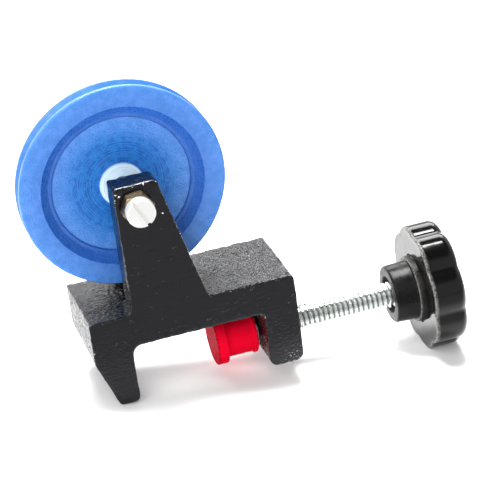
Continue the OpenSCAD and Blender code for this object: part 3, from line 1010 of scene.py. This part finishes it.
def zinc():
    """Bright zinc: cool grey with a faint cloudy bloom, painted shade in the thread's root, and small
    dark marks where the plating has worn."""
    f = Finish("zinc_plate", Metallic=1.0)
    bloom = f.noise(2.4, detail=3.0)
    marks = f.ramp(f.noise(0.9), 0.70, 0.76)
    shade = f.blend(f.ramp(bloom, 0.35, 0.7), ZINC, BLOOM)
    # painted shade: the deeper in the thread's root, the darker the colour
    root_shaded = f.blend(f.ramp(f.attribute("root"), 0.55, 1.0), shade, ROOT_SHADE)
    f.colour(f.blend(marks, root_shaded, WORN_SPOT))
    f.roughness(f.ramp(bloom, 0.3, 0.7, 0.20, 0.36))
    f.relief(f.noise(0.3), 0.008)
    return f.mat


screw = show("clamp_thread_rod", screw_mesh, "screw", zinc(), sharp=40)
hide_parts("clamp_screw")

# %% [markdown]
# ## The knob
# A phenolic knob: a lobed head on a round boss. The head's outline is eight equal arcs
# round the axis, so its distance from the axis at any angle is that of the nearest arc.
# The outline is carried along a profile that says, at each row, how far to come in from
# it and where along the axis to stand. Eight cylinders joined by Boolean modifiers would
# give the lobes too, but not their round far edge. Flash from the mould left a rough pale
# line round the edge that faces the screw.

# %% Knob: outline
LOBES, LOBE_RADIUS, LOBE_CENTRE = 8, 7.7, 8.0
FIRST_LOBE = math.radians(29)
VALLEY_SPREAD = 2.4  # degrees to either side over which the outline is softened


def sharp_outline(angle):
    """Distance of the outline: lobe centre times cosine of the angle to the nearest lobe, plus what is
    left of that arc's radius there, by Pythagoras."""
    step = 2 * np.pi / LOBES
    off = (angle - FIRST_LOBE + step / 2) % step - step / 2
    return LOBE_CENTRE * np.cos(off) + np.sqrt(LOBE_RADIUS ** 2 - (LOBE_CENTRE * np.sin(off)) ** 2)


def lobed(turn):
    """The outline as the mean of nine copies turned a little, so that the valleys are round."""
    spread = np.radians(np.linspace(-VALLEY_SPREAD, VALLEY_SPREAD, 9))
    return np.mean([sharp_outline(turn + s) for s in spread], axis=0)


print("the knob's outline reaches", round(lobed(np.linspace(0, 6.28, 720)).max(), 2), "mm")

# %% Knob: head
KNOB_FACE, KNOB_END = 74.6, 83.1
NEAR_ROUND, FAR_ROUND, CROWN = 0.35, 2.3, 0.05  # radius of the near and far edge, height of the crown


def quarter(count):
    """Sines and cosines of count angles from 0 to 90 degrees."""
    a = np.radians(np.linspace(0, 90, count))
    return np.sin(a), np.cos(a)


def knob_rows():
    """(share of the outline, distance in from it, place along the axis, flash) for each row of the
    head, from inside the boss round to the far middle."""
    rows = [(0.30, 0.0, KNOB_FACE + 0.9, 0.0), (0.55, 0.0, KNOB_FACE + 0.9, 0.0)]
    rows += [(share, 0.0, KNOB_FACE + 0.02, 0.0) for share in (0.56, 0.65, 0.75, 0.85, 0.92)]
    rows += [(1.0, 0.75, KNOB_FACE, 0.3), (1.0, 0.45, KNOB_FACE + 0.03, 0.8)]
    rows += [(1.0, NEAR_ROUND * (1 - a), KNOB_FACE + 0.05 + NEAR_ROUND * (1 - b), 1.0 - 0.15 * i)
             for i, (a, b) in enumerate(zip(*quarter(5)))]
    rows += [(1.0, 0.0, KNOB_FACE + x, 0.0) for x in (0.9, 2.0, 3.5, 5.0, 6.0)]
    rows += [(1.0, FAR_ROUND * (1 - b), KNOB_END - FAR_ROUND * (1 - a) - CROWN, 0.0)
             for a, b in zip(*quarter(9))]
    rows += [(share, FAR_ROUND, KNOB_END - CROWN * share, 0.0) for share in (0.93, 0.8, 0.6, 0.4, 0.2)]
    return np.array(rows)


def knob_head():
    """Head grid: radius = share * (outline - distance in), placed along the axis."""
    turn = full_turn(288)
    rows = knob_rows()
    radius = rows[:, 0, None] * (lobed(turn)[None] - rows[:, 1, None])
    grid = round_axis(radius, rows[:, 2:3], turn, ON_SCREW, ALONG_SCREW)
    return grid, np.repeat(rows[:, 3], len(turn))


head_grid, flash = knob_head()
head_mesh = skin("knob_head_skin", head_grid, loop=False)
mark(head_mesh, "flash", np.append(flash, [0, 0]))
print("head:", len(head_grid), "rows")

# %% Knob: boss
BOSS_FROM = 67.5
COLLAR = KNOB_FACE - 1.45  # where the collar's edge stands
MOUTH = 4.7  # radius of the hollow that the screw goes into

boss_profile = rounded([
    (3.30, BOSS_FROM + 3.2, 0), (4.0, BOSS_FROM + 2.6, 0.2), (4.6, BOSS_FROM, 0.25), (7.15, BOSS_FROM, 0.55),
    (7.42, KNOB_FACE - 1.5, 0.35), (8.25, COLLAR, 0.35), (8.35, KNOB_FACE - 0.1, 0.25),
    (8.7, KNOB_FACE + 0.5, 0.1), (3.30, KNOB_FACE + 0.5, 0),
])
boss_grid = carried_round(boss_profile, 128, ON_SCREW, ALONG_SCREW)
boss_mesh = skin("knob_boss_skin", boss_grid)
boss_x = boss_grid[..., 0].ravel()
boss_r = np.hypot(boss_grid[..., 1], boss_grid[..., 2]).ravel()
collar_edge = np.exp(-((boss_x - COLLAR) / 0.25) ** 2) * (boss_r > 7.9)
mouth_edge = 0.3 * np.exp(-((boss_r - MOUTH) / 0.25) ** 2) * (boss_x < BOSS_FROM + 0.5)
mark(boss_mesh, "flash", np.clip(0.6 * collar_edge + mouth_edge, 0, 1))
mark(boss_mesh, "hollow", (boss_r < MOUTH).astype(float))
print("boss:", len(boss_profile), "rows")

# %% [markdown]
# The head was polished and the boss was left as it came from the mould, so one function
# makes both finishes, with the roughness as its argument. Inside the hollow mouth the
# shine is taken away, because dust lies there.

# %% Knob: black moulding
KNOB_BLACK, TORN_FLASH = (0.003, 0.003, 0.003), (0.34, 0.33, 0.31)


def phenolic(name, glossiest, dullest, ior):
    """Glossy black moulding: very slight waves in the shine, scuffs between the two roughnesses, and
    pale torn flash where it is marked."""
    f = Finish(name, IOR=ior)
    torn = f.noise(0.35, detail=4.0, roughness=0.7)
    flash_mark = f.times(f.attribute("flash"), f.ramp(torn, 0.42, 0.56))
    f.colour(f.blend(flash_mark, KNOB_BLACK, TORN_FLASH))
    scuff = f.ramp(f.noise(2.2, detail=5.0, roughness=0.65), 0.35, 0.70, glossiest, dullest)
    shine = f.calc("ADD", scuff, f.times(flash_mark, 0.45))
    shine = f.calc("MAXIMUM", shine, f.times(f.attribute("hollow"), 0.9))
    f.roughness(shine)
    first = f.relief(f.noise(5.0, detail=1.0), 0.05)
    f.relief(f.times(torn, f.attribute("flash")), 0.25, after=first)
    return f.mat


knob_finish = phenolic("knob_phenolic", 0.08, 0.15, 1.38)
knob = show("knob_head", head_mesh, "screw", knob_finish, sharp=60)
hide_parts("clamp_knob")
boss_finish = phenolic("boss_phenolic", 0.26, 0.44, 1.24)
show("knob_boss", boss_mesh, "screw", boss_finish, sharp=60)

# %% [markdown]
# ## The pressure pad
# A turned red plastic pad: a broad flange that presses on the bench, a body, and a thin
# lip. It is a profile carried round the screw's axis, hollow where the screw's end sits.
# Its face was cut off in the lathe by hand, and the strokes run out from the middle.

# %% Pad: shape
PAD_FACE, PAD_LONG, FLANGE_THICK = 21.6, 10.4, 2.7
FLANGE_RADIUS, PAD_RADIUS, LIP_RADIUS = 6.5, 5.2, 5.6
SOCKET_RADIUS, SOCKET_FLOOR = 3.24, 1.82
pad_profile = np.array([0, PAD_FACE]) + rounded([
    (0.02, 0.12, 0), (5.4, 0.03, 0.5), (FLANGE_RADIUS, 0.02, 0.35), (FLANGE_RADIUS, FLANGE_THICK, 0.25),
    (PAD_RADIUS, FLANGE_THICK + 0.02, 0.25), (PAD_RADIUS, 9.35, 0.1), (LIP_RADIUS, 9.5, 0.1),
    (LIP_RADIUS, PAD_LONG, 0.2), (3.45, PAD_LONG, 0.2), (SOCKET_RADIUS, PAD_LONG - 0.4, 0.1),
    (SOCKET_RADIUS, SOCKET_FLOOR, 0.0), (0.02, SOCKET_FLOOR, 0),
], steps=6)
pad_grid = carried_round(pad_profile, 192, ON_SCREW, ALONG_SCREW)
pad_mesh = skin("pad_skin", pad_grid, loop=False)
on_face = (pad_grid[..., 0] < PAD_FACE + 0.3).astype(float).ravel()
mark(pad_mesh, "face", np.append(on_face, [1, 0]))
print("pad:", len(pad_profile), "rows")


# %% Pad: red plastic
PAD_RED, STROKE_RED = (0.74, 0.002, 0.022), (0.30, 0.001, 0.010)


def red_plastic():
    """Red plastic: soft shine, strokes that fan out over the face, fine turning marks on the body. The
    strokes are a noise of one number, the angle round the screw's axis."""
    f = Finish("red_plastic", IOR=1.04)
    split = f.add("ShaderNodeSeparateXYZ")
    f.link(f.where, split.inputs[0])
    angle = f.calc("ARCTAN2", split.outputs[2], split.outputs[1])
    strokes = f.times(f.line_noise(angle, 9.0, 3.0), f.attribute("face"))
    f.colour(f.blend(f.ramp(strokes, 0.40, 0.62), PAD_RED, STROKE_RED))
    turning = f.noise(0.5, detail=2.0, where=f.placed(stretch=(1.0, 0.05, 0.05)))
    first = f.relief(strokes, 0.10)
    f.relief(turning, 0.012, after=first)
    f.roughness(f.ramp(f.noise(1.2), 0.3, 0.7, 0.38, 0.50))
    return f.mat


pad = show("red_pad", pad_mesh, "pad", red_plastic(), sharp=50)
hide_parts("pressure_pad")

# %% [markdown]
# ## Size and finish
# The dressed object has to stay the size of the model under it, so both boxes are printed
# side by side.

# %% Finish
bpy.context.view_layer.update()
visual_box = [list(corner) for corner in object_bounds()]
for low_high, cad, visual in zip(("low", "high"), cad_box, visual_box):
    cad_mm, visual_mm = np.round(np.array(cad) / MM, 2), np.round(np.array(visual) / MM, 2)
    print(low_high, "corner, mm: model", cad_mm, "dressed", visual_mm)
